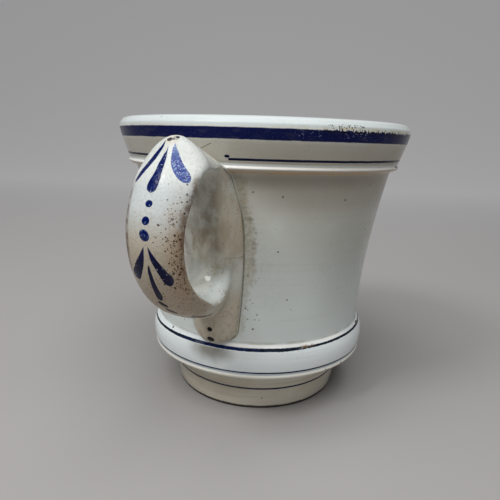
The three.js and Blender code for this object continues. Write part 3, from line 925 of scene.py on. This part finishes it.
# The glaze: white on the strap's upper front, and stained pink-brown by hands and tea below.
strap.coat((196, 186, 166), strap.patches(0.42, 0.66, 14, 3) * 0.4)
lower = round_loop.falling(-12, 30) * front
strap.coat((222, 228, 228), round_loop.within(22, 100, 14) * front * 0.5)
strap.coat((184, 194, 200), round_loop.within(8, 46, 9) * front * 0.45)
strap.coat((176, 160, 138), lower * 0.7)
strap.coat((160, 132, 104), round_loop.falling(-45, -15) * front * 0.35)
hand_wear = strap.y.rising(3.4, 8.6) * round_loop.within(-48, 34, 14) * front
strap.coat((172, 140, 106), hand_wear * (strap.patches(0.3, 0.62, 4.5, 3, shift=3) * 0.45 + 0.15))
far_edge = (strap.y + round_loop.rising(0, 40) * 0.9).falling(-6.6, -5.2)
far_edge = far_edge * round_loop.within(-24, 44, 6) * front
strap.coat((84, 60, 40), far_edge * (strap.patches(0.36, 0.6, 2.6, 3, shift=9) * 0.5 + 0.4))
near_edge = (strap.y - round_loop.rising(16, 50) * 1.3).rising(7.3, 8.5)
near_edge = near_edge * round_loop.within(-30, 58, 6) * front
strap.coat((104, 78, 54), near_edge * (strap.patches(0.36, 0.58, 1.8, 3, shift=5) * 0.55 + 0.2))

# Inside the finger hole tea has run and dried in streaks.
by_wall = strap.x.falling(-10, -4)
streaks = strap.noise(4.6, 4, stretch=(1.2, 1.2, 0.6), shift=13)
tea_runs = by_wall * strap.z.within(-14, 22, 6)
strap.coat((150, 128, 100), tea_runs * (streaks.rising(0.38, 0.62) * 0.45 + 0.1))
# Grey runs, partly tea and partly painted shade down the middle of the hole, where the strap keeps the
# light off.
grey_runs_and_shade = by_wall * strap.z.within(-12, 6, 5) * strap.y.falling(4.5, 7.5)
grey_runs_and_shade = grey_runs_and_shade * strap.patches(0.46, 0.66, 5.0, 4, stretch=(1, 1, 0.6))
strap.coat((110, 100, 84), grey_runs_and_shade * 0.45)
# Painted shade in the middle of the hole, and painted light on its near side, which the light reaches.
hole_middle_shade = by_wall * strap.y.falling(3.5, 6.5) * strap.z.within(-6, 18, 5)
strap.coat((92, 76, 58), hole_middle_shade * (streaks.rising(0.36, 0.6) * 0.14 + 0.16))
hole_near_side_light = by_wall * strap.y.rising(3.8, 7.2) * strap.z.within(-9, 11, 5)
strap.coat((204, 190, 162), hole_near_side_light * 0.42)
tail = strap.z.falling(-30, -18) * by_wall
strap.coat((188, 172, 148), tail * 0.6)
strap.coat((150, 132, 108), tail * strap.patches(0.45, 0.65, 1.6, 4, shift=41) * 0.3)

# The hollow bowl at the loop's foot, white partly from thick glaze and partly as painted light where it
# faces up.
bowl_rim = [(-139, 21.3), (-119, 25.0), (-106, 23.9), (-97, 21.8), (-86, 19.4), (-72, 17.7), (-58, 16.8)]
within_rim = row_curve(bowl_rim, 1, 0, 30) - from_centre
in_bowl = within_rim.rising(-0.1, 0.7) * round_loop.within(-140, -62, 8)
bowl = in_bowl * (round_loop + strap.y * 2.4).rising(-127, -99) * strap.y.falling(6.9, 8.2)
bowl_cloud = strap.patches(0.34, 0.6, 3.2, 4, shift=21)
strap.coat((140, 144, 138), in_bowl * (bowl * -1 + 1) * (bowl_cloud * 0.25 + 0.4))
strap.coat((220, 231, 229), bowl * (bowl_cloud * 0.4 + 0.55))
# Painted light: the bowl is whitest on its near side.
strap.coat((246, 250, 246), bowl * strap.y.rising(3.6, 6.2) * 0.75)
tea_mark = dot(-135, 3.4, 5.5, 2.2) * strap.patches(0.4, 0.64, 1.0, 3, shift=4)
strap.coat((140, 126, 90), tea_mark * by_wall * 0.45)
# A painted shadow in the crease where the strap meets the tail.
crease_shadow_way = strap.y - 3.98 + strap.x * 0.15 + strap.drift(1.0, 1.5, 2, shift=33)
crease_shadow = crease_shadow_way.size().falling(0.45, 1.0) * strap.x.within(-6.8, 3.6, 0.8)
strap.coat((56, 44, 36), crease_shadow * strap.z.within(-28, -23, 0.6) * 0.9)
seam = (strap.z + 9.8 + strap.drift(0.8, 6, 2)).size().falling(0.15, 0.5)
strap.coat((120, 98, 74), seam * by_wall * strap.y.size().rising(4.6, 5.4) * 0.2)

# Crazing, mottling and iron specks, thick where the hand rubs.
strap.coat((176, 166, 146), strap.patches(0.5, 0.68, 0.8, 3, shift=26) * front * 0.25)
lip_of_bowl = within_rim.size().falling(0.5, 1.4) * strap.y.rising(4.0, 6.0)
lip_of_bowl = lip_of_bowl * round_loop.within(-128, -62, 6)
strap.coat((170, 150, 120), lip_of_bowl * strap.patches(0.46, 0.58, 1.1, 3, shift=12) * 0.6)
strap.coat((88, 76, 60), strap.specks(0.9, 0.15, by_wall * 0.35, shift=22) * 0.5)
strap_crazing = strap.cracks(1.5, 0.08)
strap.coat((134, 108, 80), strap_crazing * strap.patches(0.38, 0.62, 9, 2, shift=2) * 0.16)
grime = strap.patches(0.5, 0.72, 0.5, 3, shift=19)
strap.coat((138, 114, 86), grime * (hand_wear * 0.3 + lower * 0.25 + 0.06))
clusters = strap.patches(0.36, 0.6, 5, 3, shift=31) * 0.6 + 0.4
rubbed = strap.y.within(6.2, 8.3, 0.6) * round_loop.within(-32, 34, 6) * front
speck_share = (hand_wear * 0.75 + lower * 0.3 + rubbed * 0.35) * clusters + 0.04
thick_dirt = rubbed * round_loop.falling(6, 18) * clusters
ragged = strap.patches(0.34, 0.46, 0.5, 2, shift=47)
strap.coat((96, 70, 46), strap.specks(0.55, 0.16, speck_share, shift=1) * 0.8)
strap.coat((54, 38, 24), strap.specks(0.95, 0.22, speck_share * 0.8 - 0.06, shift=6) * 0.95)
strap.coat((48, 34, 22), strap.specks(1.3, 0.34, rubbed * clusters * 0.9, shift=37) * ragged * 0.92)
strap.coat((38, 28, 20), strap.specks(0.95, 0.27, thick_dirt, shift=52) * 0.92)

# The cobalt strokes and dots, each put down in one touch of a full brush.
strokes = stroke((71.8, -1.25, -1.15), (69.0, -1.9, -0.98), (67.0, -2.83, -1.25), (64.7, -3.73, -1.75),
                 (61.8, -4.53, -2.25), (58.2, -5.2, -2.9), (54.8, -5.95, -3.55), (51.1, -6.7, -4.6),
                 (48.2, -7.0, -5.6), (46.4, -6.7, -6.6))
for rows in (
    [(68.0, 0.42, 0.5), (65.5, 0.2, 0.68), (63.8, -0.15, 0.82), (58.4, -0.5, 1.2), (50.8, -0.6, 1.56),
     (45.4, -1.28, 1.68), (41.0, -1.55, 1.46), (38.4, -0.95, 1.05), (37.1, 0.0, 0.1)],
    [(0.6, -0.3, -0.25), (-5.1, -1.57, -0.32), (-11.4, -3.16, -0.66), (-16.8, -4.3, -1.27),
     (-19.0, -4.95, -1.6), (-23.7, -5.4, -2.47), (-26.5, -5.0, -3.1), (-27.9, -3.9, -3.9)],
    [(0.8, 0.9, 0.95), (-3.5, 1.1, 1.98), (-8.1, 1.45, 3.05), (-13.2, 2.1, 4.15), (-18.8, 2.9, 5.25),
     (-23.9, 3.5, 6.14), (-28.5, 4.05, 6.15), (-31.0, 4.7, 5.7), (-31.9, 5.1, 5.1)],
    [(-13.0, 0.6, 0.65), (-16.8, 0.2, 0.99), (-23.8, 0.15, 1.31), (-30.8, 0.07, 1.6), (-37.1, 0.15, 1.96),
     (-42.5, 0.2, 2.02), (-44.9, 0.5, 1.6), (-46.0, 1.0, 1.0)],
):
    strokes = strokes.most(stroke(*rows))
pale_stroke = stroke((70.2, 2.1, 2.15), (69.2, 1.95, 2.45), (66.9, 1.85, 3.45), (61.9, 2.25, 5.35),
                     (58.7, 2.8, 6.8), (56.1, 3.4, 8.1), (52.7, 4.5, 8.75), (50.4, 5.5, 8.6),
                     (49.2, 6.3, 8.1), (48.5, 7.2, 7.4))
for place, side, degrees, across, slant in (
    (29.9, 0.25, 2.4, 1.06, 0), (18.4, 0.05, 2.95, 1.1, 0), (8.5, -0.05, 3.9, 1.48, 0.6),
    (-50.9, 0.8, 3.1, 1.15, 2.1), (-61.9, 1.5, 3.6, 1.1, 3.8),
):
    strokes = strokes.most(dot(place, side, degrees, across, slant))
for height, tall, across in ((35.15, 0.8, 0.9), (31.25, 1.0, 1.3)):
    off = hypotenuse((strap.z + LOOP_CENTRE_HEIGHT - height) / tall, strap.y / across)
    strokes = strokes.most((off + brush_edge).falling(0.9, 1.1) * strap.x.falling(-12, -8))
strokes = strokes * outer_side.most(tail.rising(0.2, 0.5))
pale_stroke = pale_stroke * outer_side
all_strokes = strokes.most(pale_stroke)
brush_load = strap.noise(1.5, 3, stretch=(1, 1, 0.6), shift=23)
strap.coat(COBALT, strokes * (brush_load.rising(0.25, 0.5) * 0.1 + 0.9))
strap.coat(DEEP_COBALT, strokes * (brush_load.rising(0.4, 0.62) * 0.4 + 0.3))
strap.coat((0, 0, 42), strokes * (round_loop.falling(-14, 2) * 0.5 + round_loop.falling(2, 14) * 0.4))
strap.coat((2, 2, 8), strokes * round_loop.falling(-48, -44))
# The pale stroke is partly thin paint and partly a painted highlight, and its light mottles are painted
# glints.
strap.coat((50, 76, 146), pale_stroke * 0.96)
strap.coat((24, 44, 128), pale_stroke * strap.patches(0.44, 0.58, 0.8, 3, shift=36) * 0.85)
strap.coat((150, 172, 206), pale_stroke * strap.patches(0.54, 0.64, 0.6, 3, shift=29) * 0.8)
# Painted glints: white sparkles on the pale stroke.
painted_glints = strap.specks(0.42, 0.1, pale_stroke * 0.55, shift=43) * (round_loop.rising(48, 56) * 0.6 + 0.4)
strap.coat((226, 236, 244), painted_glints * outer_side * 0.8)
thin_paint = strap.patches(0.52, 0.64, 0.7, 3, shift=48) * round_loop.within(6, 22, 3)
strap.coat((96, 112, 150), strokes * thin_paint * 0.5)
strap.coat((136, 158, 196), pale_stroke * round_loop.rising(62, 70) * 0.5)
strap.coat((208, 216, 232), all_strokes * strap.specks(0.7, 0.13, 0.4, shift=9) * outer_side * 0.5)

# The peak, where the glaze has worn off to dark clay in two spots, and the biggest marks on the strap.
on_peak = from_centre.rising(24, 26)
peak = hypotenuse((round_loop - 73.2) / 4.6, (strap.y - 0.7) / 1.9)
strap.coat((204, 192, 168), peak.falling(0.6, 1.3) * on_peak * 0.4)
strap.coat((46, 44, 50), dot(72.0, 0.05, 1.15, 0.85) * on_peak * 0.95)
strap.coat((140, 142, 130), dot(73.5, 1.6, 1.7, 0.8) * on_peak * 0.7)
strap.coat((36, 40, 54), dot(74.2, 1.95, 1.1, 0.5) * on_peak * 0.95)
strap.coat((84, 88, 86), dot(72.3, 1.15, 0.7, 0.35) * on_peak * 0.85)
for mark in (
    (16.5, 3.6, 0.8, 0.38), (23.4, 8.4, 0.8, 0.34), (8.7, 7.6, 0.9, 0.26), (5.5, 7.9, 0.9, 0.28),
    (2.3, 7.4, 0.7, 0.24), (6.8, 6.0, 0.6, 0.24), (42.0, 8.7, 0.7, 0.26), (48.6, 8.3, 0.6, 0.24),
):
    strap.coat((72, 48, 30), dot(*mark) * outer_side * 0.85)

strap_relief = strap.noise(1.1, 2, shift=4) * 0.08 + strap.noise(4.0, 2) * 0.06 - strap_crazing * 0.02
strap_relief = strap_relief * (in_bowl * -0.88 + 1) + all_strokes * 0.025
strap_gloss = (strap.noise(7, 3, shift=8) * 0.14 + 0.13 + lower * 0.08) * (in_bowl * -0.75 + 1)
strap.finish(handle, strap_gloss, strap_relief, shine=0.22)


# The slip in the handle's joint. It is squeezed out as a fine bead all round the back plate, wiped down
# with a brush, and shows under the glaze as a thin darker line.
def slip_bead(radius=0.27, sides=8, steps=260):
    """A closed rope of slip along the outline of the back plate."""
    middle, half_height = (PLATE_TOP + PLATE_BOTTOM) / 2, (PLATE_TOP - PLATE_BOTTOM) / 2
    proud, beside_plate, short_of_ends = 0.02, 0.08, 0.9995
    line = []
    for i in range(steps):
        turn = 2 * math.pi * i / steps
        height = middle + half_height * math.cos(turn) * short_of_ends
        base = np.interp(height, outside_line[:, 1], outside_line[:, 0]) + proud
        angle = math.copysign((plate_half_width(height) + beside_plate) / base, math.sin(turn))
        line.append(np.array([base * math.cos(angle), base * math.sin(angle), height]))
    points = []
    for i, centre in enumerate(line):
        along = line[(i + 1) % steps] - line[i - 1]
        along /= np.linalg.norm(along)
        outward = np.array([centre[0], centre[1], 0])
        outward -= along * (outward @ along)
        outward /= np.linalg.norm(outward)
        sideways = np.cross(along, outward)
        for a in 2 * math.pi * np.arange(sides) / sides:
            spoke = math.cos(a) * outward + math.sin(a) * sideways
            points.append((centre + radius * spoke) * MM + [AXIS_X, 0, 0])
    return mesh_object("handle_slip_bead", points, ring_faces(steps, sides))


handle_slip = slip_bead()
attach(handle_slip, "root")
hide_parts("handle_slip")
slip_finish("slip_of_handle", handle_slip)
